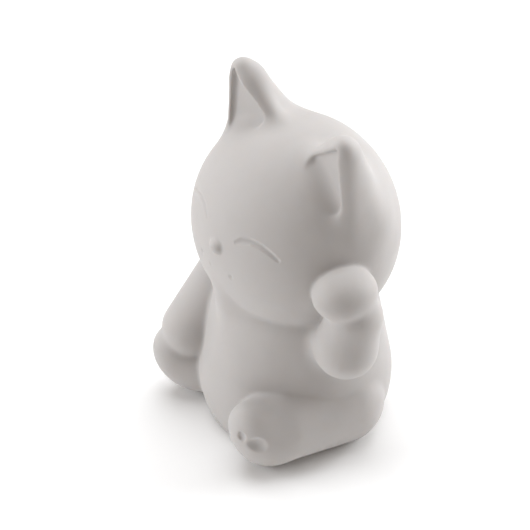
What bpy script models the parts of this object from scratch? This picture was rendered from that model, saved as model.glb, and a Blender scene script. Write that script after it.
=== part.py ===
"""Beckoning cat mood light: a soft moulded skin over a plug-in battery base.

The cat faces -Y and sits on z = 0, and its left, raised paw is at +X. Sizes in the constants are
millimetres, and MM turns them into metres.
"""

import math

import bmesh
import bpy
from mathutils import Euler, Matrix, Vector

MM = 0.001
GAP = 0.3
CUT = 1.0
BEVEL_ANGLE = 40.0
MERGE_DISTANCE = 0.00001

# Skin: outer form. The head and ears are in a frame that turns and tilts about the neck
HEAD_RADII = (34.8, 31.4, 35.0)
HEAD_CENTRE = (0.0, 0.4, 2.8)
NECK_PIVOT = (0.0, 0.0, 69.0)
HEAD_TURN = 4.0
HEAD_TILT = 6.5
EAR_TIP = (24.0, -6.0, 48.6)
EAR_OUTER = (26.6, -3.0, 21.0)
EAR_INNER = (7.0, -2.0, 32.0)
EAR_RADIUS = 3.2
EAR_BACK = (22.5, -3.5, 44.5)
EAR_BACK_RADIUS = 3.6
EAR_ROOTS = (((14.0, 5.5, 22.0), 10.0), ((21.5, 4.5, 16.5), 10.5))
EAR_HOLLOW_CENTRE = (20.0, -9.6, 37.5)
EAR_HOLLOW_RADII = (6.2, 4.8, 9.6)
EAR_HOLLOW_LEAN = 18.0
HIP_CENTRE = (0.0, 1.0, 15.0)
HIP_RADIUS = 31.6
CHEST_CENTRE = (2.2, -0.4, 43.4)
CHEST_RADIUS = 26.2
KNEE = (20.2, 4.2, 12.6)
KNEE_RADIUS = 14.6
LEFT_ANKLE = (21.4, -18.6, 14.2)
LEFT_ANKLE_RADIUS = 12.6
RIGHT_ANKLE = (21.5, -20.0, 11.5)
RIGHT_ANKLE_RADIUS = 10.4
LEFT_FOOT_CENTRE = (21.2, -28.0, 13.5)
LEFT_FOOT_RADII = (9.4, 8.0, 13.6)
RIGHT_FOOT_CENTRE = (-26.0, -27.2, 14.6)
RIGHT_FOOT_RADII = (7.8, 8.2, 12.0)
FOOT_LEAN = 24.0
FOOT_SPLAY = 14.0
LEFT_SHOULDER = (25.0, 3.0, 40.0)
LEFT_ELBOW = (35.4, -5.0, 46.8)
LEFT_WRIST = (37.3, -3.6, 59.0)
LEFT_PAW_CENTRE = (36.5, -6.8, 68.3)
LEFT_PAW_RADII = (9.2, 10.3, 8.3)
LEFT_SHOULDER_RADIUS = 10.0
LEFT_ELBOW_RADIUS = 9.2
LEFT_WRIST_RADIUS = 8.9
RIGHT_SHOULDER = (-24.0, -5.5, 38.5)
RIGHT_PAW = (-23.2, -24.3, 26.5)
RIGHT_SHOULDER_RADIUS = 11.8
RIGHT_PAW_RADIUS = 9.6
TAIL_CENTRE = (-3.0, 29.5, 9.0)
TAIL_RADIUS = 6.5
SKIN_VOXEL = 1.4
SKIN_SMOOTHING = 6
SKIN_KEEP = 0.095
GROUND_HALF = 80.0
GROUND_DEPTH = 40.0

# Skin: core
LIP_RADIUS = 21.8
LIP_TOP = 2.3
GROOVE_RADIUS = 24.5
GROOVE_TOP = 5.9
BORE_TOP = 22.6
CORE_PROFILE = ((19.5, 32.0), (17.0, 41.0), (20.0, 51.0), (25.5, 61.0), (26.5, 72.0), (23.0, 85.0),
                (14.0, 94.0), (0.0, 97.0))

# Base tub
BASE_BOTTOM = 0.0
FLOOR_TOP = 2.4
CUP_RADIUS = 21.4
CUP_WALL = 1.6
CUP_TOP = 19.4
CUP_CHAMFER = 0.5
FLANGE_RADIUS = 24.2
FLANGE_BOTTOM = 2.6
FLANGE_TOP = 5.6
DECK_THICKNESS = 1.6
DECK_HOLE_RADIUS = 3.4
DECK_CHAMFER = 0.4
BOSS_RADIUS = 2.2
BOSS_CIRCLE = 16.8
BOSS_ANGLES = (-90.0, 15.0, 165.0)

# Cells and their bay
CELL_RADIUS = 5.8
CELL_LENGTH = 5.4
CELL_COUNT = 3
CELL_X = 1.0
BAY_Y = -8.4
BAY_HALF_WIDTH = 6.2
BAY_LEFT = -12.3
BAY_RIGHT = 10.4
BAY_CEILING = 13.7
BAY_WALL = 1.2
CELL_AXIS_Z = 7.6
CELL_CAP_INSET = 0.9
CELL_CAP_HEIGHT = 0.5
CELL_RIM_INSET = 0.4
CELL_EDGE = 0.3
CONTACT_THICKNESS = 0.4
CONTACT_WIDTH = 9.0
CONTACT_BOTTOM = 3.0
CONTACT_TOP = 12.6
TAB_WIDTH = 2.0
TAB_Y = -5.0
TAB_TOP = 17.2
SPRING_TURNS = 3
SPRING_WIRE = 0.3
SPRING_RADIUS = 2.6

# Door and its captive screw
DOOR_THICKNESS = 1.5
DOOR_LEFT = -13.6
DOOR_RIGHT = 11.6
DOOR_HALF_WIDTH = 7.0
DOOR_BEVEL = 0.25
EAR_RIGHT = 16.8
EAR_HALF_WIDTH = 2.8
SCREW_X = 14.0
SCREW_HEAD_RADIUS = 2.0
SCREW_HEAD_BOTTOM = 0.15
SCREW_HEAD_TOP = 0.75
SCREW_SHANK_RADIUS = 0.9
SCREW_SHANK_TOP = 6.9
SCREW_HOLE_RADIUS = 1.2
SCREW_BOSS_TOP = 8.4
SCREW_TIP_ROOM = 0.5
SLOT_LENGTH = 2.8
SLOT_WIDTH = 0.5
SLOT_DEPTH = 0.3
DECK_SCREW_HEAD_HEIGHT = 1.0
DECK_SCREW_DEPTH = 7.0

# Board and what is on it
BOARD_RADIUS = 14.0
BOARD_THICKNESS = 1.2
PEG_RADIUS = 0.9
PEG_X = (-4.5, 6.5)
PEG_Y = -11.0
LED_RADIUS = 2.5
LED_FLANGE_RADIUS = 2.9
LED_HEIGHT = 8.7
LED_FLANGE_HEIGHT = 1.0
CHIP_SIZE = (5.0, 4.0, 1.6)
CHIP_XY = (0.0, 8.0)
CHIP_BEVEL = 0.2
RESISTOR_XY = (-7.5, 4.5)
RESISTOR_RADIUS = 0.9
RESISTOR_LENGTH = 3.4
RESISTOR_BEVEL = 0.25
DOME_RADIUS = 9.0
DOME_WALL = 1.2

# Slide switch
SWITCH_Y = 9.5
CAN_SIZE = (9.0, 4.8, 3.6)
CAN_WALL = 0.5
SWITCH_TRAVEL = 3.0
SLIDER_SIZE = (4.2, 3.0, 2.2)
STEM_SIZE = (2.0, 2.0)
STEM_BOTTOM = 0.3
WIRE_RADIUS = 0.5
WIRE_SPREAD = 2.4
WIRE_BOW = 1.2
WIRE_RUN = 2.5
WIRE_STEPS = 8

WHITE_SKIN = (0.86, 0.83, 0.80)
WHITE_ABS = (0.82, 0.81, 0.79)
STEEL = (0.62, 0.62, 0.63)
BOARD_GREEN = (0.05, 0.25, 0.12)
BLACK = (0.03, 0.03, 0.03)
RED = (0.55, 0.04, 0.03)
FROSTED = (0.90, 0.90, 0.88)
RESISTOR_TAN = (0.70, 0.58, 0.38)


def clear_scene():
    for item in list(bpy.data.objects):
        bpy.data.objects.remove(item, do_unlink=True)


def make_collection(name):
    collection = bpy.data.collections.new(name)
    bpy.context.scene.collection.children.link(collection)
    return collection


def metres(values):
    return Vector([value * MM for value in values])


def make_material(name, colour, roughness, metallic=0.0):
    material = bpy.data.materials.new(name)
    material.use_nodes = True
    shader = material.node_tree.nodes["Principled BSDF"]
    shader.inputs["Base Color"].default_value = (*colour, 1.0)
    shader.inputs["Roughness"].default_value = roughness
    shader.inputs["Metallic"].default_value = metallic
    return material


def make_object(name, solid, collection, material=None):
    """Turn a bmesh into a linked object, and free the bmesh."""
    mesh = bpy.data.meshes.new(name)
    bmesh.ops.recalc_face_normals(solid, faces=solid.faces)
    solid.to_mesh(mesh)
    solid.free()
    item = bpy.data.objects.new(name, mesh)
    collection.objects.link(item)
    if material:
        mesh.materials.append(material)
    return item


def make_cutter(name, solid):
    item = make_object(name, solid, cutters)
    item.hide_render = True
    item.display_type = "WIRE"
    return item


def add_box(solid, low, high):
    low, high = metres(low), metres(high)
    size = high - low
    place = Matrix.Translation((low + high) / 2) @ Matrix.Diagonal((*size, 1.0))
    bmesh.ops.create_cube(solid, size=1.0, matrix=place)


def add_cylinder(solid, centre_xy, radius, bottom, top, segments=32):
    place = Matrix.Translation(metres((*centre_xy, (bottom + top) / 2)))
    bmesh.ops.create_cone(solid, cap_ends=True, segments=segments, radius1=radius * MM,
                          radius2=radius * MM, depth=(top - bottom) * MM, matrix=place)


def add_ellipsoid(solid, centre, radii, turn=(0.0, 0.0, 0.0), frame=Matrix.Identity(4)):
    angles = Euler([math.radians(angle) for angle in turn], "XYZ")
    place = frame @ Matrix.Translation(metres(centre)) @ angles.to_matrix().to_4x4()
    place = place @ Matrix.Diagonal((*metres(radii), 1.0))
    bmesh.ops.create_uvsphere(solid, u_segments=32, v_segments=20, radius=1.0, matrix=place)


def add_hull(solid, balls, frame=Matrix.Identity(4)):
    """Add the convex hull of a few balls, each a centre and a radius."""
    hull = bmesh.new()
    for centre, radius in balls:
        add_ellipsoid(hull, centre, (radius, radius, radius), frame=frame)
    bmesh.ops.convex_hull(hull, input=list(hull.verts), use_existing_faces=False)
    loose = [vertex for vertex in hull.verts if not vertex.link_faces]
    bmesh.ops.delete(hull, geom=loose, context="VERTS")
    buried = [edge for edge in hull.edges if not edge.link_faces]
    bmesh.ops.delete(hull, geom=buried, context="EDGES")
    scratch = bpy.data.meshes.new("hull")
    hull.to_mesh(scratch)
    hull.free()
    solid.from_mesh(scratch)
    bpy.data.meshes.remove(scratch)


def mirrored(point):
    return (-point[0], point[1], point[2])


def add_boolean(item, cutter, operation):
    step = item.modifiers.new(operation.lower(), "BOOLEAN")
    step.operation = operation
    step.solver = "EXACT"
    step.object = cutter
    return step


def add_bevel(item, width, segments=2):
    step = item.modifiers.new("edges", "BEVEL")
    step.width = width * MM
    step.segments = segments
    step.limit_method = "ANGLE"
    step.angle_limit = math.radians(BEVEL_ANGLE)
    return step


def runs_clockwise(profile):
    following = profile[1:] + profile[:1]
    return sum(a[0] * b[1] - b[0] * a[1] for a, b in zip(profile, following)) > 0


def turned(name, profile, collection, material=None, centre_xy=(0.0, 0.0), steps=48):
    """Turn a profile of (radius, height) points, which starts and ends on the axis or is a ring."""
    solid = bmesh.new()
    corners = [solid.verts.new(metres((radius, 0.0, height))) for radius, height in profile]
    for first, second in zip(corners, corners[1:]):
        solid.edges.new((first, second))
    is_ring = profile[0][0] > 0 and profile[-1][0] > 0
    if is_ring:
        solid.edges.new((corners[-1], corners[0]))
    item = make_object(name, solid, collection, material)
    item.location = metres((*centre_xy, 0.0))
    step = item.modifiers.new("turn", "SCREW")
    step.steps = steps
    step.render_steps = steps
    step.use_merge_vertices = True
    step.merge_threshold = MERGE_DISTANCE
    step.use_normal_flip = runs_clockwise(profile)
    return item


def wire(name, points, radius, collection, material, resolution=2):
    curve = bpy.data.curves.new(name, "CURVE")
    curve.dimensions = "3D"
    curve.bevel_depth = radius * MM
    curve.bevel_resolution = resolution
    curve.use_fill_caps = True
    spline = curve.splines.new("POLY")
    spline.points.add(len(points) - 1)
    for spot, point in zip(spline.points, points):
        spot.co = (*metres(point), 1.0)
    item = bpy.data.objects.new(name, curve)
    collection.objects.link(item)
    curve.materials.append(material)
    return item


def head_frame():
    turn = Matrix.Rotation(math.radians(HEAD_TURN), 4, "Z")
    tilt = Matrix.Rotation(math.radians(HEAD_TILT), 4, "Y")
    return Matrix.Translation(metres(NECK_PIVOT)) @ turn @ tilt


def add_head(solid):
    frame = head_frame()
    add_ellipsoid(solid, HEAD_CENTRE, HEAD_RADII, frame=frame)
    for place in (Vector, mirrored):
        plate = [(place(corner), EAR_RADIUS) for corner in (EAR_TIP, EAR_OUTER, EAR_INNER)]
        add_hull(solid, plate, frame)
        for root, radius in EAR_ROOTS:
            add_hull(solid, ((place(EAR_BACK), EAR_BACK_RADIUS), (place(root), radius)), frame)


def add_hind_legs(solid):
    add_hull(solid, ((KNEE, KNEE_RADIUS), (LEFT_ANKLE, LEFT_ANKLE_RADIUS)))
    add_hull(solid, ((mirrored(KNEE), KNEE_RADIUS), (mirrored(RIGHT_ANKLE), RIGHT_ANKLE_RADIUS)))
    add_ellipsoid(solid, LEFT_FOOT_CENTRE, LEFT_FOOT_RADII, (FOOT_LEAN, 0.0, FOOT_SPLAY))
    add_ellipsoid(solid, RIGHT_FOOT_CENTRE, RIGHT_FOOT_RADII, (FOOT_LEAN, 0.0, -FOOT_SPLAY))


def add_arms(solid):
    add_hull(solid, ((LEFT_SHOULDER, LEFT_SHOULDER_RADIUS), (LEFT_ELBOW, LEFT_ELBOW_RADIUS)))
    add_hull(solid, ((LEFT_ELBOW, LEFT_ELBOW_RADIUS), (LEFT_WRIST, LEFT_WRIST_RADIUS)))
    add_ellipsoid(solid, LEFT_PAW_CENTRE, LEFT_PAW_RADII)
    add_hull(solid, ((RIGHT_SHOULDER, RIGHT_SHOULDER_RADIUS), (RIGHT_PAW, RIGHT_PAW_RADIUS)))


def ear_hollows():
    solid = bmesh.new()
    for side in (1.0, -1.0):
        centre = (EAR_HOLLOW_CENTRE[0] * side, *EAR_HOLLOW_CENTRE[1:])
        add_ellipsoid(solid, centre, EAR_HOLLOW_RADII, (0.0, EAR_HOLLOW_LEAN * side, 0.0),
                      head_frame())
    return make_cutter("ear_hollows", solid)


def skin_core():
    profile = [(0.0, -CUT), (LIP_RADIUS, -CUT), (LIP_RADIUS, LIP_TOP), (GROOVE_RADIUS, LIP_TOP),
               (GROOVE_RADIUS, GROOVE_TOP), (LIP_RADIUS, GROOVE_TOP), (LIP_RADIUS, BORE_TOP)]
    core = turned("skin_core", profile + list(CORE_PROFILE), cutters)
    core.hide_render = True
    core.display_type = "WIRE"
    return core


def ground_block():
    solid = bmesh.new()
    add_box(solid, (-GROUND_HALF, -GROUND_HALF, -GROUND_DEPTH), (GROUND_HALF, GROUND_HALF, 0.0))
    return make_cutter("ground_block", solid)


def make_skin():
    """Blend the body's round forms into one soft body, then hollow it."""
    solid = bmesh.new()
    add_head(solid)
    add_hull(solid, ((HIP_CENTRE, HIP_RADIUS), (CHEST_CENTRE, CHEST_RADIUS)))
    add_hind_legs(solid)
    add_arms(solid)
    add_ellipsoid(solid, TAIL_CENTRE, (TAIL_RADIUS, TAIL_RADIUS, TAIL_RADIUS))
    skin = make_object("skin", solid, figurine, make_material("soft_vinyl", WHITE_SKIN, 0.6))
    blend = skin.modifiers.new("blend", "REMESH")
    blend.mode = "VOXEL"
    blend.voxel_size = SKIN_VOXEL * MM
    soften = skin.modifiers.new("soften", "SMOOTH")
    soften.factor = 0.5
    soften.iterations = SKIN_SMOOTHING
    thin = skin.modifiers.new("thin", "DECIMATE")
    thin.ratio = SKIN_KEEP
    add_boolean(skin, ear_hollows(), "DIFFERENCE")
    add_boolean(skin, ground_block(), "DIFFERENCE")
    add_boolean(skin, skin_core(), "DIFFERENCE")
    return skin


def boss_places():
    for angle in BOSS_ANGLES:
        turn = math.radians(angle)
        yield BOSS_CIRCLE * math.cos(turn), BOSS_CIRCLE * math.sin(turn)


def cup_inner_forms():
    """The battery bay, the screw bosses and the board's pegs, as solids on the tub's floor."""
    solid = bmesh.new()
    wall = BAY_WALL
    add_box(solid, (BAY_LEFT - wall, BAY_Y - BAY_HALF_WIDTH - wall, BASE_BOTTOM + wall),
            (BAY_RIGHT + wall, BAY_Y + BAY_HALF_WIDTH + wall, BAY_CEILING + wall))
    for place in boss_places():
        add_cylinder(solid, place, BOSS_RADIUS, BASE_BOTTOM + wall, CUP_TOP, 20)
    add_cylinder(solid, (SCREW_X, BAY_Y), BOSS_RADIUS, BASE_BOTTOM + wall, SCREW_BOSS_TOP, 20)
    return make_cutter("cup_inner_forms", solid)


def board_pegs():
    solid = bmesh.new()
    for x in PEG_X:
        add_cylinder(solid, (x, PEG_Y), PEG_RADIUS, BAY_CEILING + BAY_WALL / 2, TAB_TOP, 12)
    return make_cutter("board_pegs", solid)


def add_tab_slot(solid, left, bottom, top):
    """Add a cutter with clearance round one contact's tab."""
    half = TAB_WIDTH / 2 + GAP
    add_box(solid, (left - GAP, TAB_Y - half, bottom), (left + CONTACT_THICKNESS + GAP, TAB_Y + half, top))


def door_outline(margin):
    left, right = DOOR_LEFT - margin, DOOR_RIGHT + margin
    half, ear_half = DOOR_HALF_WIDTH + margin, EAR_HALF_WIDTH + margin
    tip = EAR_RIGHT + margin
    return ((left, -half), (right, -half), (right, -ear_half), (tip, -ear_half), (tip, ear_half),
            (right, ear_half), (right, half), (left, half))


def add_door_plate(solid, margin, bottom, top):
    lower = [solid.verts.new(metres((x, BAY_Y + y, bottom))) for x, y in door_outline(margin)]
    plate = solid.faces.new(lower)
    lifted = bmesh.ops.extrude_face_region(solid, geom=[plate])["geom"]
    raised = [part for part in lifted if isinstance(part, bmesh.types.BMVert)]
    bmesh.ops.translate(solid, verts=raised, vec=metres((0, 0, top - bottom)))


def bay_hollow():
    solid = bmesh.new()
    add_box(solid, (BAY_LEFT, BAY_Y - BAY_HALF_WIDTH, BASE_BOTTOM + DOOR_THICKNESS - GAP),
            (BAY_RIGHT, BAY_Y + BAY_HALF_WIDTH, BAY_CEILING))
    return make_cutter("bay_hollow", solid)


def door_recess():
    solid = bmesh.new()
    add_door_plate(solid, GAP, BASE_BOTTOM - CUT, BASE_BOTTOM + DOOR_THICKNESS + GAP)
    return make_cutter("door_recess", solid)


def cup_holes():
    solid = bmesh.new()
    for left in (negative_plate_left(), positive_plate_left()):
        add_tab_slot(solid, left, BAY_CEILING - CUT, CUP_TOP)
    for place in boss_places():
        add_cylinder(solid, place, SCREW_HOLE_RADIUS, CUP_TOP - DECK_SCREW_DEPTH - CUT, CUP_TOP + CUT,
                     16)
    add_cylinder(solid, (SCREW_X, BAY_Y), SCREW_HOLE_RADIUS, BASE_BOTTOM,
                 SCREW_SHANK_TOP + SCREW_TIP_ROOM, 16)
    half_slot = (STEM_SIZE[0] + SWITCH_TRAVEL) / 2 + GAP
    half_width = STEM_SIZE[1] / 2 + GAP
    add_box(solid, (-half_slot, SWITCH_Y - half_width, BASE_BOTTOM - CUT),
            (half_slot, SWITCH_Y + half_width, FLOOR_TOP + GAP))
    return make_cutter("cup_holes", solid)


def make_base_cup():
    inner = CUP_RADIUS - CUP_WALL
    profile = ((0.0, BASE_BOTTOM), (CUP_RADIUS - CUP_CHAMFER, BASE_BOTTOM),
               (CUP_RADIUS, BASE_BOTTOM + CUP_CHAMFER),
               (CUP_RADIUS, FLANGE_BOTTOM), (FLANGE_RADIUS, FLANGE_BOTTOM),
               (FLANGE_RADIUS, FLANGE_TOP), (CUP_RADIUS, FLANGE_TOP), (CUP_RADIUS, CUP_TOP),
               (inner, CUP_TOP), (inner, FLOOR_TOP), (0.0, FLOOR_TOP))
    cup = turned("base_cup", profile, figurine, make_material("abs_cup", WHITE_ABS, 0.45))
    add_boolean(cup, cup_inner_forms(), "UNION").use_self = True
    add_boolean(cup, board_pegs(), "UNION")
    add_boolean(cup, bay_hollow(), "DIFFERENCE")
    add_boolean(cup, door_recess(), "DIFFERENCE")
    add_boolean(cup, cup_holes(), "DIFFERENCE")


def make_base_deck():
    bottom = CUP_TOP + GAP
    top = bottom + DECK_THICKNESS
    profile = ((DECK_HOLE_RADIUS, bottom), (CUP_RADIUS, bottom), (CUP_RADIUS, top - DECK_CHAMFER),
               (CUP_RADIUS - DECK_CHAMFER, top), (DECK_HOLE_RADIUS, top))
    deck = turned("base_deck", profile, figurine, make_material("abs_deck", WHITE_ABS, 0.45))
    solid = bmesh.new()
    for place in boss_places():
        add_cylinder(solid, place, SCREW_HOLE_RADIUS, bottom - CUT, top + CUT, 16)
    add_boolean(deck, make_cutter("deck_screw_holes", solid), "DIFFERENCE")


def add_cross_slot(solid, place, face, depth):
    """Add the two bars of a cross recess that goes depth into a head's face."""
    low, high = sorted((face - math.copysign(CUT, depth), face + depth))
    for half_x, half_y in ((SLOT_LENGTH / 2, SLOT_WIDTH / 2), (SLOT_WIDTH / 2, SLOT_LENGTH / 2)):
        add_box(solid, (place[0] - half_x, place[1] - half_y, low),
                (place[0] + half_x, place[1] + half_y, high))


def screw_profile(head_bottom, head_top, shank_end):
    """Outline of a screw with its head at one end, ordered from the shank's end."""
    inner_face = head_top if shank_end > head_top else head_bottom
    outer_face = head_bottom if shank_end > head_top else head_top
    return ((0.0, shank_end), (SCREW_SHANK_RADIUS, shank_end), (SCREW_SHANK_RADIUS, inner_face),
            (SCREW_HEAD_RADIUS, inner_face), (SCREW_HEAD_RADIUS, outer_face), (0.0, outer_face))


def make_screw(name, place, profile, slot_face, slot_depth, material):
    screw = turned(name, profile, figurine, material, place, steps=20)
    slots = bmesh.new()
    add_cross_slot(slots, place, slot_face, slot_depth)
    cut = add_boolean(screw, make_cutter(name + "_slots", slots), "DIFFERENCE")
    cut.use_self = True


def make_deck_screws():
    head_bottom = CUP_TOP + GAP + DECK_THICKNESS + GAP
    head_top = head_bottom + DECK_SCREW_HEAD_HEIGHT
    profile = screw_profile(head_bottom, head_top, CUP_TOP - DECK_SCREW_DEPTH)
    material = make_material("screw_steel", STEEL, 0.3, 1.0)
    for index, place in enumerate(boss_places()):
        make_screw(f"deck_screw_{index + 1}", place, profile, head_top, -SLOT_DEPTH, material)


def make_diffuser():
    base = CUP_TOP + GAP + DECK_THICKNESS + GAP
    steps = 6
    arc = [math.pi / 2 * step / steps for step in range(steps + 1)]
    inner = DOME_RADIUS - DOME_WALL
    outside = [(DOME_RADIUS * math.cos(turn), base + DOME_RADIUS * math.sin(turn)) for turn in arc]
    inside = [(inner * math.cos(turn), base + inner * math.sin(turn)) for turn in reversed(arc)]
    outside[-1] = (0.0, outside[-1][1])
    inside[0] = (0.0, inside[0][1])
    material = make_material("frosted_cap", FROSTED, 0.5)
    turned("diffuser_dome", inside + outside, figurine, material, steps=28)


def board_bottom():
    return BAY_CEILING + BAY_WALL + GAP


def board_top():
    return board_bottom() + BOARD_THICKNESS


def make_board():
    solid = bmesh.new()
    add_cylinder(solid, (0, 0), BOARD_RADIUS, board_bottom(), board_top(), 48)
    board = make_object("circuit_board", solid, figurine, make_material("board", BOARD_GREEN, 0.4))
    holes = bmesh.new()
    for x in PEG_X:
        add_cylinder(holes, (x, PEG_Y), PEG_RADIUS + GAP, board_bottom() - CUT, board_top() + CUT, 12)
    for left in (negative_plate_left(), positive_plate_left()):
        add_tab_slot(holes, left, board_bottom() - CUT, board_top() + CUT)
    add_boolean(board, make_cutter("board_holes", holes), "DIFFERENCE")


def make_led():
    base = board_top() + GAP
    shoulder = base + LED_HEIGHT - LED_RADIUS
    steps = 6
    tip = [(LED_RADIUS * math.cos(math.pi / 2 * step / steps),
            shoulder + LED_RADIUS * math.sin(math.pi / 2 * step / steps)) for step in range(steps)]
    profile = [(0.0, base), (LED_FLANGE_RADIUS, base), (LED_FLANGE_RADIUS, base + LED_FLANGE_HEIGHT),
               (LED_RADIUS, base + LED_FLANGE_HEIGHT), *tip, (0.0, base + LED_HEIGHT)]
    turned("led", profile, figurine, make_material("led_resin", FROSTED, 0.15), steps=24)


def make_chip():
    solid = bmesh.new()
    width, depth, height = CHIP_SIZE
    base = board_top() + GAP
    add_box(solid, (CHIP_XY[0] - width / 2, CHIP_XY[1] - depth / 2, base),
            (CHIP_XY[0] + width / 2, CHIP_XY[1] + depth / 2, base + height))
    chip = make_object("driver_chip", solid, figurine, make_material("chip_resin", BLACK, 0.5))
    add_bevel(chip, CHIP_BEVEL, 1)


def make_resistor():
    height = board_top() + GAP + RESISTOR_RADIUS
    place = Matrix.Translation(metres((*RESISTOR_XY, height))) @ Matrix.Rotation(math.pi / 2, 4, "Y")
    solid = bmesh.new()
    bmesh.ops.create_cone(solid, cap_ends=True, segments=20, radius1=RESISTOR_RADIUS * MM,
                          radius2=RESISTOR_RADIUS * MM, depth=RESISTOR_LENGTH * MM, matrix=place)
    item = make_object("resistor", solid, figurine, make_material("resistor", RESISTOR_TAN, 0.5))
    add_bevel(item, RESISTOR_BEVEL)


def cell_stack_half():
    pitch = CELL_LENGTH + GAP
    return ((CELL_COUNT - 1) * pitch + CELL_LENGTH) / 2


def positive_plate_left():
    return CELL_X + cell_stack_half() + GAP


def negative_plate_left():
    return BAY_LEFT + GAP


def make_cells():
    material = make_material("cell_steel", STEEL, 0.25, 1.0)
    pitch = CELL_LENGTH + GAP
    half = CELL_LENGTH / 2
    rim, cap = CELL_RADIUS - CELL_RIM_INSET, CELL_RADIUS - CELL_CAP_INSET
    shoulder = CELL_CAP_HEIGHT - half
    for index in range(CELL_COUNT):
        profile = ((0.0, -half), (cap, -half), (cap, shoulder), (rim, shoulder),
                   (CELL_RADIUS, shoulder + CELL_RIM_INSET), (CELL_RADIUS, half - CELL_EDGE),
                   (CELL_RADIUS - CELL_EDGE, half), (0.0, half))
        cell = turned(f"button_cell_{index + 1}", profile, figurine, material, steps=32)
        x = CELL_X + (index - (CELL_COUNT - 1) / 2) * pitch
        cell.location = metres((x, BAY_Y, CELL_AXIS_Z))
        cell.rotation_euler = (0.0, math.pi / 2, 0.0)


def make_contact(name, left, material):
    solid = bmesh.new()
    right = left + CONTACT_THICKNESS
    near, far = BAY_Y - CONTACT_WIDTH / 2, BAY_Y + CONTACT_WIDTH / 2
    tab_near, tab_far = TAB_Y - TAB_WIDTH / 2, TAB_Y + TAB_WIDTH / 2
    corners = ((near, CONTACT_BOTTOM), (far, CONTACT_BOTTOM), (far, CONTACT_TOP),
               (tab_far, CONTACT_TOP), (tab_far, TAB_TOP), (tab_near, TAB_TOP),
               (tab_near, CONTACT_TOP), (near, CONTACT_TOP))
    outline = [solid.verts.new(metres((left, y, z))) for y, z in corners]
    sheet = solid.faces.new(outline)
    lifted = bmesh.ops.extrude_face_region(solid, geom=[sheet])["geom"]
    raised = [part for part in lifted if isinstance(part, bmesh.types.BMVert)]
    bmesh.ops.translate(solid, verts=raised, vec=metres((right - left, 0, 0)))
    make_object(name, solid, figurine, material)


def make_contact_spring(material):
    start = negative_plate_left() + CONTACT_THICKNESS + GAP + SPRING_WIRE
    end = CELL_X - cell_stack_half() - GAP - SPRING_WIRE
    per_turn = 14
    count = SPRING_TURNS * per_turn
    points = []
    for index in range(count + 1):
        turn = 2 * math.pi * index / per_turn
        along = start + (end - start) * index / count
        points.append((along, BAY_Y + SPRING_RADIUS * math.cos(turn),
                       CELL_AXIS_Z + SPRING_RADIUS * math.sin(turn)))
    wire("contact_spring", points, SPRING_WIRE, figurine, material)


def make_switch_can():
    width, depth, height = CAN_SIZE
    base = FLOOR_TOP + GAP
    outer, inner = bmesh.new(), bmesh.new()
    add_box(outer, (-width / 2, SWITCH_Y - depth / 2, base),
            (width / 2, SWITCH_Y + depth / 2, base + height))
    add_box(inner, (CAN_WALL - width / 2, SWITCH_Y - depth / 2 + CAN_WALL, base - CUT),
            (width / 2 - CAN_WALL, SWITCH_Y + depth / 2 - CAN_WALL, base + height - CAN_WALL))
    can = make_object("switch_can", outer, figurine, make_material("can_steel", STEEL, 0.3, 1.0))
    add_boolean(can, make_cutter("can_hollow", inner), "DIFFERENCE")


def make_switch_knob():
    """The slider sits in the can at its off end, and its stem comes down through the floor."""
    width, depth, height = SLIDER_SIZE
    slider_bottom = FLOOR_TOP + 2 * GAP
    solid, stem = bmesh.new(), bmesh.new()
    add_box(solid, (-width / 2, -depth / 2, slider_bottom),
            (width / 2, depth / 2, slider_bottom + height))
    add_box(stem, (-STEM_SIZE[0] / 2, -STEM_SIZE[1] / 2, STEM_BOTTOM),
            (STEM_SIZE[0] / 2, STEM_SIZE[1] / 2, slider_bottom + height / 2))
    knob = make_object("switch_knob", solid, figurine, make_material("knob", BLACK, 0.5))
    stem_form = make_cutter("knob_stem", stem)
    for item in (knob, stem_form):
        item.location = metres((-SWITCH_TRAVEL / 2, SWITCH_Y, 0.0))
    add_boolean(knob, stem_form, "UNION")


def make_battery_door():
    solid = bmesh.new()
    add_door_plate(solid, 0.0, BASE_BOTTOM, BASE_BOTTOM + DOOR_THICKNESS)
    door = make_object("battery_door", solid, figurine, make_material("abs_door", WHITE_ABS, 0.45))
    add_bevel(door, DOOR_BEVEL, 1)
    hole = bmesh.new()
    add_cylinder(hole, (SCREW_X, BAY_Y), SCREW_HOLE_RADIUS, BASE_BOTTOM, BASE_BOTTOM + DOOR_THICKNESS + CUT,
                 20)
    sink = bmesh.new()
    add_cylinder(sink, (SCREW_X, BAY_Y), SCREW_HEAD_RADIUS + GAP, BASE_BOTTOM - CUT,
                 SCREW_HEAD_TOP + GAP, 24)
    add_boolean(door, make_cutter("door_screw_hole", hole), "DIFFERENCE")
    add_boolean(door, make_cutter("door_screw_sink", sink), "DIFFERENCE")


def make_door_screw():
    profile = screw_profile(SCREW_HEAD_BOTTOM, SCREW_HEAD_TOP, SCREW_SHANK_TOP)
    material = make_material("door_screw_steel", STEEL, 0.3, 1.0)
    make_screw("door_screw", (SCREW_X, BAY_Y), profile, SCREW_HEAD_BOTTOM, SLOT_DEPTH, material)


def make_wires():
    start = FLOOR_TOP + GAP + CAN_SIZE[2] + GAP
    end = board_bottom() - GAP
    for name, side, colour in (("wire_red", 1.0, RED), ("wire_black", -1.0, BLACK)):
        points = []
        for index in range(WIRE_STEPS + 1):
            part = index / WIRE_STEPS
            bow = WIRE_BOW * math.sin(math.pi * part)
            points.append(((WIRE_SPREAD + bow) * side, SWITCH_Y - WIRE_RUN * part,
                           start + (end - start) * part))
        wire(name, points, WIRE_RADIUS, figurine, make_material(name, colour, 0.5))


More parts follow.
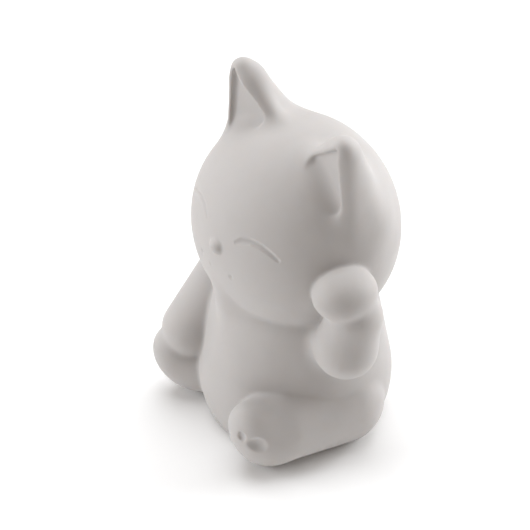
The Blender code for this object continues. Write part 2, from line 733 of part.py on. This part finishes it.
clear_scene()
figurine = make_collection("beckoning_cat_figurine")
cutters = make_collection("cutters")
make_skin()
make_base_cup()
make_base_deck()
make_deck_screws()
make_diffuser()
make_board()
make_led()
make_chip()
make_resistor()
make_cells()
contact_steel = make_material("contact_steel", STEEL, 0.25, 1.0)
make_contact("contact_plate", positive_plate_left(), contact_steel)
make_contact("contact_spring_plate", negative_plate_left(), contact_steel)
make_contact_spring(contact_steel)
make_switch_can()
make_switch_knob()
make_battery_door()
make_door_screw()
make_wires()
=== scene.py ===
"""Looks for the beckoning cat mood light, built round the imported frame.

The soft skin stands for the CAD skin. Its form is a sum of rounded shapes, given as a signed
distance: an even mesh is made where that distance is zero, and split near the small marks, which
are then pressed in. Lengths in the constants are millimetres, and MM turns them into metres. The
cat faces -Y, and its left, raised paw is at +X.
"""

import math

import bmesh
import bpy
import numpy as np
from mathutils import Matrix, Vector


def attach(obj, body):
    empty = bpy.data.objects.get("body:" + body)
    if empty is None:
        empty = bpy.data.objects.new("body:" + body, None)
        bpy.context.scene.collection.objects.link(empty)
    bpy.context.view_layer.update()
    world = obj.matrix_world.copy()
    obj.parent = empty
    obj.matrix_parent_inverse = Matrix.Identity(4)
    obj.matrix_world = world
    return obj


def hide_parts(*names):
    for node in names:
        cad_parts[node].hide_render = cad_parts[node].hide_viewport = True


MM = 0.001

# Even mesh of the skin
CELL = 0.95
FORM_LOW = (-42.0, -42.0, -2.0)
FORM_HIGH = (50.0, 42.0, 130.0)
MAX_STEP = 1.2
SLOPE_STEP = 0.02
SLOPE_FLOOR = 0.2
SMALL_SLOPE = 1e-6
SMALL_STEP = 1e-9
# Rounds of settling and share of relaxing, before and after the marks are pressed in
FORM_ROUNDS = 8
FORM_RELAX = 0.5
MARKED_ROUNDS = 10
MARKED_RELAX = 0.4
ROUNDS_WITHOUT_RELAX = 3

# Head, in a frame that turns and tilts about the neck
NECK = (0.0, 0.0, 69.0)
HEAD_TURN = 4.0
HEAD_TILT = 6.5
SKULL_CENTRE = (0.0, 0.4, 2.8)
SKULL_RADII = (34.8, 31.4, 35.0)
# The fold between head and body is crisp, and fades out at the throat
HEAD_BLEND = 0.9
THROAT_BLEND = 10.0
THROAT_MIDDLE = -0.5
THROAT_WIDTH = 7.5
THROAT_DEPTH = 20.0

# Ear: a rounded triangular plate with a hollow front, backed by two cones that run into the skull
EAR_TIP = (24.0, -6.0, 48.6)
EAR_OUTER = (26.6, -3.0, 21.0)
EAR_INNER = (7.0, -2.0, 32.0)
EAR_ROUND = 3.2
EAR_BACK = ((22.5, -3.5, 44.5), 3.6)
EAR_BACK_ROOT = ((14.0, 5.5, 22.0), 10.0)
EAR_SIDE_ROOT = ((21.5, 4.5, 16.5), 10.5)
EAR_BACK_BLEND = 5.0
EAR_HOLLOW = ((5.0, 31.0), (24.2, 48.6), (27.6, 17.0))
EAR_HOLLOW_ROUND = 0.6
EAR_HOLLOW_LEVEL = 1.5
EAR_HOLLOW_FLOOR_EDGE = 1.2
EAR_HOLLOW_RIM_EDGE = 1.2
EAR_BLEND = 4.5

# Face; each eye ball and mouth mark has a centre and a radius
NOSE = ((-0.1, -30.5, 6.4), (2.6, 2.1, 2.4))
NOSE_BLEND = 1.0
EYE_LINE = ((7.3, -29.5, 12.2), (9.1, -28.7, 13.7), (11.7, -27.6, 14.7), (15.0, -26.2, 14.6),
            (17.9, -25.0, 13.5), (20.6, -23.7, 11.9))
EYE_RADII = (0.6, 1.0, 1.0, 0.8, 0.65, 0.4)
FAR_EYE_DEPTH = 0.55
MOUTH_MARKS = (((7.3, -30.6, -1.0), 0.75), ((-2.3, -31.2, -2.3), 0.7), ((-7.4, -30.5, -1.0), 0.75))
MARK_BLEND = 0.7

# Body; the right leg is given as its mirror image, on the cat's left
HIP = ((0.0, 1.0, 15.0), 31.6)
CHEST = ((2.2, -0.4, 43.4), 26.2)
KNEE = ((20.2, 4.2, 12.6), 14.6)
LEFT_ANKLE = ((21.4, -18.6, 14.2), 12.6)
RIGHT_ANKLE = ((21.5, -20.0, 11.5), 10.4)
LEFT_FOOT = ((21.2, -28.0, 13.5), (9.4, 8.0, 13.6))
RIGHT_FOOT = ((26.0, -27.2, 14.6), (7.8, 8.2, 12.0))
FOOT_LEAN = 24.0
FOOT_SPLAY = 14.0
FOOT_BLEND = 5.0
LEG_BLEND = 0.9
LEFT_SHOULDER = ((25.0, 3.0, 40.0), 10.0)
LEFT_ELBOW = ((35.4, -5.0, 46.8), 9.2)
LEFT_WRIST = ((37.3, -3.6, 59.0), 8.9)
LEFT_PAW = ((36.5, -6.8, 68.3), (9.2, 10.3, 8.3))
LEFT_ARM_BLEND = 5.0
ELBOW_BLEND = 3.0
PAW_BLEND = 2.0
RIGHT_SHOULDER = ((-25.2, -6.2, 39.6), 11.8)
RIGHT_PAW = ((-23.2, -24.3, 26.5), 9.6)
RIGHT_ARM_BLEND = 1.5
TAIL = ((-3.0, 29.5, 9.0), (6.5, 6.5, 6.5))
TAIL_BLEND = 3.0

# Soles, measured from the middle of the foot
SOLE_PAD = ((7.9, -5.6, 2.6), (3.4, 1.9, 3.0))
SOLE_BEAN = ((3.6, -8.5, 4.9), (1.3, 1.4, 1.8))
SOLE_TURN = 48.0

# Reach of the finer mesh round each feature
EYE_REACH = 3.2
NOSE_REACH = 4.6
MOUTH_MARGIN = 1.3
SOLE_MARGIN = 1.2
EAR_REACH = 5.5
EAR_SPOTS = 6
MARK_CUTS = 3
EAR_CUTS = 1

# Inside of the skin: the socket for the base and the hollow above it, as radius and height
SOCKET = ((-60.0, -20.0), (21.8, -20.0), (21.8, 2.3), (24.5, 2.3), (24.5, 5.9), (21.8, 5.9),
          (21.8, 22.6), (19.5, 32.0), (17.0, 41.0), (20.0, 51.0), (25.5, 61.0), (26.5, 72.0),
          (23.0, 85.0), (14.0, 94.0), (0.0, 97.0), (-60.0, 97.0))
SOCKET_EDGE = 0.35
# Rounding where the skin meets the ground
GROUND_EDGE = 1.0

# Camera and stage
CAMERA_AZIMUTH = 56.0
CAMERA_ELEVATION = 35.0
CAMERA_DISTANCE = 640.0
CAMERA_TARGET = (-6.93, -6.24, 53.22)
CAMERA_LENS = 136.9
CAMERA_SENSOR = 36.0
CAMERA_FAR = 20000.0
FLOOR_HALF = 4000.0
FLOOR_DROP = 0.05
FLOOR_TONES = (0.96, 0.98)
FLOOR_CLOUD = 0.004
FLOOR_DETAIL = 3.0
FLOOR_ROUGHNESS = 0.9
FLOOR_SPECULAR = 0.1
LAMP_COLOUR = (0.95, 0.975, 1.0)
LAMP_TARGET = (0.0, 0.0, 50.0)
# Each lamp: turn from the camera and elevation in degrees, distance and size in metres, watts
LAMPS = {
    "overhead": (180.0, 78.0, 1.3, 1.5, 17.5),
    "left_side": (-85.0, 20.0, 1.1, 0.8, 7.0),
    "right_back": (110.0, 22.0, 1.1, 0.8, 10.0),
}
ROOM_COLOUR = (1.0, 0.84, 0.70)
ROOM_LEVEL = 0.2

# Noise: how much of its range a change of tone spans, and how finely it is broken up
CLOUD_BAND = (0.3, 0.7)
GRAIN_BAND = (0.35, 0.65)
CLOUD_DETAIL = 4.0
GRAIN_DETAIL = 2.0
NOISE_ROUGHNESS = 0.55

# Soft skin: colours, grain in cells per millimetre, and relief
SKIN_DARK = (0.482, 0.460, 0.448)
SKIN_LIGHT = (0.508, 0.487, 0.475)
SKIN_ROUGHNESS = (0.60, 0.68)
SKIN_CLOUD = 0.045
SKIN_GRAIN = 1.3
SKIN_GRAIN_HEIGHT = 0.008
SKIN_WAVE = 0.12
SKIN_WAVE_HEIGHT = 0.12
SKIN_SPECULAR = 0.25
SKIN_SCATTER = 0.35
SKIN_SCATTER_RADIUS = (1.0, 0.72, 0.55)
SKIN_SCATTER_SCALE = 1.2

# Moulded and drawn stock: dark and light tone, roughness, grain, height of the grain
STOCK = {
    "white_abs": ((0.74, 0.73, 0.71), (0.80, 0.79, 0.77), 0.42, 3.0, 0.01),
    "steel": ((0.52, 0.52, 0.53), (0.66, 0.66, 0.67), 0.28, 2.2, 0.004),
    "black_plastic": ((0.018, 0.018, 0.019), (0.035, 0.035, 0.036), 0.45, 3.0, 0.008),
    "red_insulation": ((0.42, 0.02, 0.015), (0.55, 0.035, 0.03), 0.4, 2.5, 0.004),
    "black_insulation": ((0.015, 0.015, 0.016), (0.03, 0.03, 0.03), 0.4, 2.5, 0.004),
    "board": ((0.02, 0.16, 0.07), (0.04, 0.22, 0.11), 0.35, 1.6, 0.006),
    "resistor_body": ((0.60, 0.47, 0.28), (0.72, 0.58, 0.38), 0.5, 2.0, 0.006),
    "frosted_plastic": ((0.86, 0.86, 0.84), (0.92, 0.92, 0.90), 0.45, 2.0, 0.006),
    "led_resin": ((0.90, 0.90, 0.86), (0.95, 0.95, 0.93), 0.12, 2.0, 0.006),
}
STOCK_TONE = 0.25
STOCK_SMOOTHER = 0.05
STOCK_ROUGHER = 0.06
METALS = ("steel",)
CLEAR = ("frosted_plastic", "led_resin")
CLEAR_TRANSMISSION = 0.5
CLEAR_IOR = 1.49
# Stock of each node; the rest are steel
NODE_STOCK = {
    "base_cup": "white_abs", "base_deck": "white_abs", "battery_door": "white_abs",
    "diffuser_dome": "frosted_plastic", "led": "led_resin", "circuit_board": "board",
    "driver_chip": "black_plastic", "resistor": "resistor_body", "switch_knob": "black_plastic",
    "wire_red": "red_insulation", "wire_black": "black_insulation",
}


def rotation(lean=0.0, tilt=0.0, turn=0.0):
    """Turn about X, then Y, then Z, in degrees, as a 3 by 3 array."""
    about_x = Matrix.Rotation(math.radians(lean), 3, "X")
    about_y = Matrix.Rotation(math.radians(tilt), 3, "Y")
    about_z = Matrix.Rotation(math.radians(turn), 3, "Z")
    return np.array(about_z @ about_y @ about_x)


def union(first, second, blend):
    mix = np.maximum(blend - np.abs(first - second), 0) / blend
    return np.minimum(first, second) - mix * mix * blend / 4


def carve(solid, tool, blend):
    """Take the tool's form out of the solid, with a rounded edge."""
    return -union(-solid, tool, blend)


def ellipsoid(points, centre, radii, turn=None):
    local = points - np.array(centre)
    if turn is not None:
        local = local @ turn
    radii = np.array(radii)
    near = np.linalg.norm(local / radii, axis=1)
    slope = np.linalg.norm(local / radii**2, axis=1)
    return near * (near - 1) / np.maximum(slope, SMALL_SLOPE)


def round_cone(points, start, end):
    """Distance to the hull of two balls, each a centre and a radius."""
    base, first = np.array(start[0]), start[1]
    axis = np.array(end[0]) - base
    length_sq = float(axis @ axis)
    taper = first - end[1]
    flat_sq = length_sq - taper * taper
    local = points - base
    along = local @ axis
    beyond = along - length_sq
    across_sq = ((local * length_sq - along[:, None] * axis) ** 2).sum(axis=1)
    along_sq = along * along * length_sq
    beyond_sq = beyond * beyond * length_sq
    limit = math.copysign(1, taper) * taper * taper * across_sq
    side = (np.sqrt(across_sq * flat_sq / length_sq) + along * taper) / length_sq - first
    end_cap = np.sqrt(across_sq + beyond_sq) / length_sq - end[1]
    start_cap = np.sqrt(across_sq + along_sq) / length_sq - first
    at_end = np.sign(beyond) * flat_sq * beyond_sq > limit
    at_start = np.sign(along) * flat_sq * along_sq < limit
    return np.where(at_end, end_cap, np.where(at_start, start_cap, side))


def triangle(points, corners):
    """Distance to a flat triangle in space."""
    corners = [np.array(corner) for corner in corners]
    normal = np.cross(corners[1] - corners[0], corners[0] - corners[2])
    outside = np.zeros(len(points))
    nearest = np.full(len(points), np.inf)
    for start, end in zip(corners, corners[1:] + corners[:1]):
        edge, local = end - start, points - start
        outside += np.sign(local @ np.cross(edge, normal))
        share = np.clip(local @ edge / (edge @ edge), 0, 1)
        nearest = np.minimum(nearest, np.linalg.norm(local - share[:, None] * edge, axis=1))
    above = np.abs((points - corners[0]) @ normal) / np.linalg.norm(normal)
    return np.where(outside < 2, nearest, above)


def outline(across, up, corners):
    """Signed distance to a flat outline, negative inside it."""
    nearest = np.full(len(across), np.inf)
    inside = np.zeros(len(across), bool)
    for start, end in zip(corners, corners[1:] + corners[:1]):
        run, rise = end[0] - start[0], end[1] - start[1]
        out, over = across - start[0], up - start[1]
        share = np.clip((out * run + over * rise) / (run * run + rise * rise), 0, 1)
        nearest = np.minimum(nearest, np.hypot(out - share * run, over - share * rise))
        if rise:
            crosses = (up < start[1]) != (up < end[1])
            inside ^= crosses & (across < start[0] + over * run / rise)
    return np.where(inside, -nearest, nearest)


def mirrored(points):
    return points * (-1.0, 1.0, 1.0)


def in_head(points):
    """Points of the row frame, in the head's own frame."""
    return (points - np.array(NECK)) @ rotation(tilt=HEAD_TILT, turn=HEAD_TURN)


def ear(points):
    corners = [np.array(corner) for corner in (EAR_TIP, EAR_OUTER, EAR_INNER)]
    front = np.cross(corners[1] - corners[0], corners[2] - corners[0])
    front *= math.copysign(1, -front[1]) / np.linalg.norm(front)
    form = triangle(points, corners) - EAR_ROUND
    for root in (EAR_BACK_ROOT, EAR_SIDE_ROOT):
        form = union(form, round_cone(points, EAR_BACK, root), EAR_BACK_BLEND)
    level = (points - corners[0]) @ front
    hollow = outline(points[:, 0], points[:, 2], EAR_HOLLOW) - EAR_HOLLOW_ROUND
    hollow = carve(hollow, level - EAR_HOLLOW_LEVEL, EAR_HOLLOW_FLOOR_EDGE)
    return carve(form, hollow, EAR_HOLLOW_RIM_EDGE)


def head(points):
    local = in_head(points)
    form = ellipsoid(local, SKULL_CENTRE, SKULL_RADII)
    for side in (local, mirrored(local)):
        form = union(form, ear(side), EAR_BLEND)
    return union(form, ellipsoid(local, *NOSE), NOSE_BLEND)


def leg(points, ankle, foot):
    form = round_cone(points, KNEE, ankle)
    sole = ellipsoid(points, *foot, rotation(lean=FOOT_LEAN, turn=FOOT_SPLAY))
    return union(form, sole, FOOT_BLEND)


def left_arm(points):
    form = round_cone(points, LEFT_SHOULDER, LEFT_ELBOW)
    form = union(form, round_cone(points, LEFT_ELBOW, LEFT_WRIST), ELBOW_BLEND)
    return union(form, ellipsoid(points, *LEFT_PAW), PAW_BLEND)


def plain_form(points):
    """Signed distance, in millimetres, to the skin's wall, before its small marks."""
    form = round_cone(points, HIP, CHEST)
    form = union(form, leg(points, LEFT_ANKLE, LEFT_FOOT), LEG_BLEND)
    form = union(form, leg(mirrored(points), RIGHT_ANKLE, RIGHT_FOOT), LEG_BLEND)
    form = union(form, ellipsoid(points, *TAIL), TAIL_BLEND)
    form = union(form, left_arm(points), LEFT_ARM_BLEND)
    form = union(form, round_cone(points, RIGHT_SHOULDER, RIGHT_PAW), RIGHT_ARM_BLEND)
    throat = np.exp(-((points[:, 0] - THROAT_MIDDLE) / THROAT_WIDTH) ** 2)
    throat *= np.clip(-points[:, 1] / THROAT_DEPTH, 0, 1)
    fold = HEAD_BLEND + (THROAT_BLEND - HEAD_BLEND) * throat
    form = union(form, head(points), fold)
    form = carve(form, points[:, 2], GROUND_EDGE)
    hollow = outline(np.hypot(points[:, 0], points[:, 1]), points[:, 2], SOCKET)
    return carve(form, hollow, SOCKET_EDGE)


def eye_groove(points, depth):
    """One closed eye: a chain of round cones along the lid line."""
    balls = [(centre, radius * depth) for centre, radius in zip(EYE_LINE, EYE_RADII)]
    links = [round_cone(points, start, end) for start, end in zip(balls, balls[1:])]
    return np.minimum.reduce(links)


def marks(points):
    """Signed distance to all that is pressed into the skin: eyes, mouth and soles."""
    local = in_head(points)
    forms = [eye_groove(local, 1.0), eye_groove(mirrored(local), FAR_EYE_DEPTH)]
    forms += [ellipsoid(local, centre, (radius,) * 3) for centre, radius in MOUTH_MARKS]
    for side, foot in ((points, LEFT_FOOT), (mirrored(points), RIGHT_FOOT)):
        forms += [ellipsoid(side - np.array(foot[0]), *mark, rotation(turn=SOLE_TURN))
                  for mark in (SOLE_PAD, SOLE_BEAN)]
    return np.minimum.reduce(forms)


def marked_form(points):
    return carve(plain_form(points), marks(points), MARK_BLEND)


def form_mesh(field):
    """Mesh where the field is zero: one point in each grid cell that the surface crosses."""
    axes = [np.arange(low, high, CELL) for low, high in zip(FORM_LOW, FORM_HIGH)]
    grid = np.stack(np.meshgrid(*axes, indexing="ij"), axis=-1)
    inside = (field(grid.reshape(-1, 3)) < 0).reshape(grid.shape[:3])
    held = np.zeros([count - 1 for count in inside.shape], int)
    for corner in np.ndindex(2, 2, 2):
        held += inside[tuple(slice(step, step + count) for step, count in zip(corner, held.shape))]
    crossed = (held > 0) & (held < 8)
    number = np.full(held.shape, -1)
    number[crossed] = np.arange(np.count_nonzero(crossed))
    points = np.array(FORM_LOW) + (np.argwhere(crossed) + 0.5) * CELL
    faces = []
    for axis in range(3):
        solid, cells = np.moveaxis(inside, axis, 0), np.moveaxis(number, axis, 0)
        start, end = solid[:-1, 1:-1, 1:-1], solid[1:, 1:-1, 1:-1]
        i, j, k = np.nonzero(start != end)
        quads = np.stack([cells[i, j, k], cells[i, j + 1, k], cells[i, j + 1, k + 1],
                          cells[i, j, k + 1]], axis=1)
        faces_back = start[i, j, k] == (axis == 1)
        quads[faces_back] = quads[faces_back, ::-1]
        faces += quads.tolist()
    mesh = bpy.data.meshes.new("skin_moulding")
    mesh.from_pydata((points * MM).tolist(), [], faces)
    return mesh


def mesh_points(mesh):
    flat = np.empty(len(mesh.vertices) * 3)
    mesh.vertices.foreach_get("co", flat)
    return flat.reshape(-1, 3) / MM


def set_mesh_points(mesh, points):
    mesh.vertices.foreach_set("co", (points * MM).ravel())
    mesh.update()


def neighbour_mean(mesh, points):
    edges = np.empty(len(mesh.edges) * 2, int)
    mesh.edges.foreach_get("vertices", edges)
    first, second = edges[0::2], edges[1::2]
    count = np.bincount(edges, minlength=len(points))
    total = np.empty_like(points)
    for axis in range(3):
        total[:, axis] = np.bincount(first, points[second, axis], len(points))
        total[:, axis] += np.bincount(second, points[first, axis], len(points))
    return total / np.maximum(count, 1)[:, None]


def slope_of(field, points, value):
    slope = np.empty_like(points)
    for axis in range(3):
        moved = points.copy()
        moved[:, axis] += SLOPE_STEP
        slope[:, axis] = (field(moved) - value) / SLOPE_STEP
    return slope


def settle(mesh, field, rounds, relax):
    """Even out the mesh along the surface, and move each point onto the field's zero."""
    points = mesh_points(mesh)
    for step in range(rounds):
        if step < rounds - ROUNDS_WITHOUT_RELAX:
            points += (neighbour_mean(mesh, points) - points) * relax
        value = field(points)
        slope = slope_of(field, points, value)
        move = slope * (value / np.maximum((slope**2).sum(axis=1), SLOPE_FLOOR))[:, None]
        length = np.linalg.norm(move, axis=1)
        move *= np.minimum(1, MAX_STEP / np.maximum(length, SMALL_STEP))[:, None]
        points -= move
    set_mesh_points(mesh, points)


def to_world(point):
    """A point of the head's frame, in the row frame, in millimetres."""
    return rotation(tilt=HEAD_TILT, turn=HEAD_TURN) @ np.array(point) + np.array(NECK)


def mark_spots():
    """Centres and radii, in millimetres, round the nose and the pressed marks."""
    for side in (1.0, -1.0):
        for start, end in zip(EYE_LINE, EYE_LINE[1:]):
            middle = (np.array(start) + np.array(end)) / 2
            yield to_world(middle * (side, 1.0, 1.0)), EYE_REACH
    yield to_world(NOSE[0]), NOSE_REACH
    for centre, radius in MOUTH_MARKS:
        yield to_world(centre), radius + MOUTH_MARGIN
    for side, foot in ((1.0, LEFT_FOOT), (-1.0, RIGHT_FOOT)):
        for centre, radii in (SOLE_PAD, SOLE_BEAN):
            yield (np.array(foot[0]) + np.array(centre)) * (side, 1.0, 1.0), max(radii) + SOLE_MARGIN


def ear_spots():
    """Centres and radii, in millimetres, along the rims of the ears."""
    for side in (1.0, -1.0):
        for end in (EAR_OUTER, EAR_INNER):
            for share in np.linspace(0.0, 1.0, EAR_SPOTS):
                middle = np.array(EAR_TIP) * (1 - share) + np.array(end) * share
                yield to_world(middle * (side, 1.0, 1.0)), EAR_REACH


def refine(mesh, places, cuts):
    """Split the faces near some places."""
    solid = bmesh.new()
    solid.from_mesh(mesh)
    spots = [(Vector(centre) * MM, radius * MM) for centre, radius in places]
    edges = [edge for edge in solid.edges
             if any((vertex.co - centre).length < radius for centre, radius in spots
                    for vertex in edge.verts)]
    bmesh.ops.subdivide_edges(solid, edges=edges, cuts=cuts, use_grid_fill=True)
    bmesh.ops.triangulate(solid, faces=[face for face in solid.faces if len(face.verts) > 4])
    solid.to_mesh(mesh)
    solid.free()


def make_skin():
    mesh = form_mesh(plain_form)
    settle(mesh, plain_form, FORM_ROUNDS, FORM_RELAX)
    refine(mesh, ear_spots(), EAR_CUTS)
    refine(mesh, mark_spots(), MARK_CUTS)
    settle(mesh, marked_form, MARKED_ROUNDS, MARKED_RELAX)
    mesh.shade_smooth()
    mesh.materials.append(soft_skin())
    skin = bpy.data.objects.new("skin_moulding", mesh)
    bpy.context.scene.collection.objects.link(skin)
    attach(skin, "figure")
    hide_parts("skin")


def new_material(name):
    material = bpy.data.materials.new(name)
    material.use_nodes = True
    nodes, links = material.node_tree.nodes, material.node_tree.links
    return material, nodes, links, nodes["Principled BSDF"]


def noise(nodes, links, scale, detail):
    """Noise in the object's own space; scale is in cells per millimetre."""
    place = nodes.new("ShaderNodeTexCoord")
    texture = nodes.new("ShaderNodeTexNoise")
    texture.inputs["Scale"].default_value = scale / MM
    texture.inputs["Detail"].default_value = detail
    texture.inputs["Roughness"].default_value = NOISE_ROUGHNESS
    links.new(place.outputs["Object"], texture.inputs["Vector"])
    return texture.outputs["Fac"]


def ramp(nodes, links, source, band, colours, target):
    """Map a value to a change between two colours over a band of its range, into a socket."""
    table = nodes.new("ShaderNodeValToRGB")
    for element, position, colour in zip(table.color_ramp.elements, band, colours):
        element.position = position
        element.color = (*colour, 1.0)
    links.new(source, table.inputs["Fac"])
    links.new(table.outputs["Color"], target)


def grey(value):
    return (value, value, value)


def bump(nodes, links, source, shader, height, previous=None):
    """Raise the surface by a value; height is in millimetres."""
    node = nodes.new("ShaderNodeBump")
    node.inputs["Strength"].default_value = 1.0
    node.inputs["Distance"].default_value = height * MM
    links.new(source, node.inputs["Height"])
    if previous:
        links.new(previous, node.inputs["Normal"])
    links.new(node.outputs["Normal"], shader.inputs["Normal"])
    return node.outputs["Normal"]


def soft_skin():
    """Matte warm-white soft moulding: a fine powdery grain, and faint wide clouds of tone."""
    material, nodes, links, shader = new_material("soft_skin")
    cloud = noise(nodes, links, SKIN_CLOUD, CLOUD_DETAIL)
    ramp(nodes, links, cloud, CLOUD_BAND, (SKIN_DARK, SKIN_LIGHT), shader.inputs["Base Color"])
    fine = noise(nodes, links, SKIN_GRAIN, GRAIN_DETAIL)
    smooth, rough = SKIN_ROUGHNESS
    ramp(nodes, links, fine, GRAIN_BAND, (grey(smooth), grey(rough)), shader.inputs["Roughness"])
    shader.inputs["Specular IOR Level"].default_value = SKIN_SPECULAR
    shader.inputs["Subsurface Weight"].default_value = SKIN_SCATTER
    shader.inputs["Subsurface Radius"].default_value = SKIN_SCATTER_RADIUS
    shader.inputs["Subsurface Scale"].default_value = SKIN_SCATTER_SCALE * MM
    wave = noise(nodes, links, SKIN_WAVE, GRAIN_DETAIL)
    wide = bump(nodes, links, wave, shader, SKIN_WAVE_HEIGHT)
    bump(nodes, links, fine, shader, SKIN_GRAIN_HEIGHT, wide)
    return material


def stock_material(name):
    """Moulded or drawn stock: two close tones, uneven gloss and a fine grain."""
    dark, light, roughness, grain, height = STOCK[name]
    material, nodes, links, shader = new_material(name)
    tone = noise(nodes, links, STOCK_TONE, CLOUD_DETAIL)
    ramp(nodes, links, tone, GRAIN_BAND, (dark, light), shader.inputs["Base Color"])
    fine = noise(nodes, links, grain, GRAIN_DETAIL)
    smooth, rough = roughness - STOCK_SMOOTHER, roughness + STOCK_ROUGHER
    ramp(nodes, links, fine, GRAIN_BAND, (grey(smooth), grey(rough)), shader.inputs["Roughness"])
    if name in METALS:
        shader.inputs["Metallic"].default_value = 1.0
    if name in CLEAR:
        shader.inputs["Transmission Weight"].default_value = CLEAR_TRANSMISSION
        shader.inputs["IOR"].default_value = CLEAR_IOR
    bump(nodes, links, fine, shader, height)
    return material


def dress_nodes():
    """Give each CAD node, apart from the replaced skin, its own surface."""
    surfaces = {name: stock_material(name) for name in STOCK}
    for name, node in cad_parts.items():
        if name == "skin":
            continue
        node.data.materials.clear()
        node.data.materials.append(surfaces[NODE_STOCK.get(name, "steel")])


def make_floor():
    solid = bmesh.new()
    bmesh.ops.create_grid(solid, x_segments=8, y_segments=8, size=FLOOR_HALF * MM)
    mesh = bpy.data.meshes.new("floor")
    solid.to_mesh(mesh)
    solid.free()
    material, nodes, links, shader = new_material("paper_floor")
    tone = noise(nodes, links, FLOOR_CLOUD, FLOOR_DETAIL)
    dark, light = FLOOR_TONES
    ramp(nodes, links, tone, CLOUD_BAND, (grey(dark), grey(light)), shader.inputs["Base Color"])
    shader.inputs["Roughness"].default_value = FLOOR_ROUGHNESS
    shader.inputs["Specular IOR Level"].default_value = FLOOR_SPECULAR
    mesh.materials.append(material)
    floor = bpy.data.objects.new("floor", mesh)
    floor.location.z = -FLOOR_DROP * MM
    bpy.context.scene.collection.objects.link(floor)


def direction(azimuth, elevation):
    """Unit vector towards a viewer at this azimuth and elevation."""
    turn, rise = math.radians(azimuth), math.radians(elevation)
    return Vector((math.sin(turn) * math.cos(rise), -math.cos(turn) * math.cos(rise),
                   math.sin(rise)))


def aim(item, place, target):
    item.location = place
    item.rotation_euler = (target - place).to_track_quat("-Z", "Y").to_euler()
    bpy.context.scene.collection.objects.link(item)


def soft_light(name, azimuth, elevation, distance, size, power):
    lamp = bpy.data.lights.new(name, "AREA")
    lamp.shape = "DISK"
    lamp.size = size
    lamp.energy = power
    lamp.color = LAMP_COLOUR
    place = direction(azimuth, elevation) * distance
    aim(bpy.data.objects.new(name, lamp), place, Vector(LAMP_TARGET) * MM)


def make_lights():
    for name, (turn, elevation, distance, size, power) in LAMPS.items():
        soft_light(name, CAMERA_AZIMUTH + turn, elevation, distance, size, power)
    world = bpy.data.worlds.new("studio")
    world.use_nodes = True
    shade = world.node_tree.nodes["Background"]
    shade.inputs["Color"].default_value = (*ROOM_COLOUR, 1.0)
    shade.inputs["Strength"].default_value = ROOM_LEVEL
    bpy.context.scene.world = world
    bpy.context.scene.view_settings.view_transform = "Standard"


def make_camera():
    camera = bpy.data.cameras.new("camera")
    camera.lens = CAMERA_LENS
    camera.sensor_width = CAMERA_SENSOR
    camera.clip_end = CAMERA_FAR * MM
    item = bpy.data.objects.new("camera", camera)
    target = Vector(CAMERA_TARGET) * MM
    aim(item, target + direction(CAMERA_AZIMUTH, CAMERA_ELEVATION) * CAMERA_DISTANCE * MM, target)
    bpy.context.scene.camera = item


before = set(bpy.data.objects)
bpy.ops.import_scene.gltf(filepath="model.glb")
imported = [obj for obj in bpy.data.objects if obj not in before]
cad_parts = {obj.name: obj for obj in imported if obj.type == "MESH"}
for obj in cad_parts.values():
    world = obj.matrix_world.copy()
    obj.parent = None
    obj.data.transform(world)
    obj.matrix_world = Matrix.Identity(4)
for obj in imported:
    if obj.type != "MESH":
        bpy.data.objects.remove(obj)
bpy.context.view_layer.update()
make_skin()
dress_nodes()
make_floor()
make_lights()
make_camera()
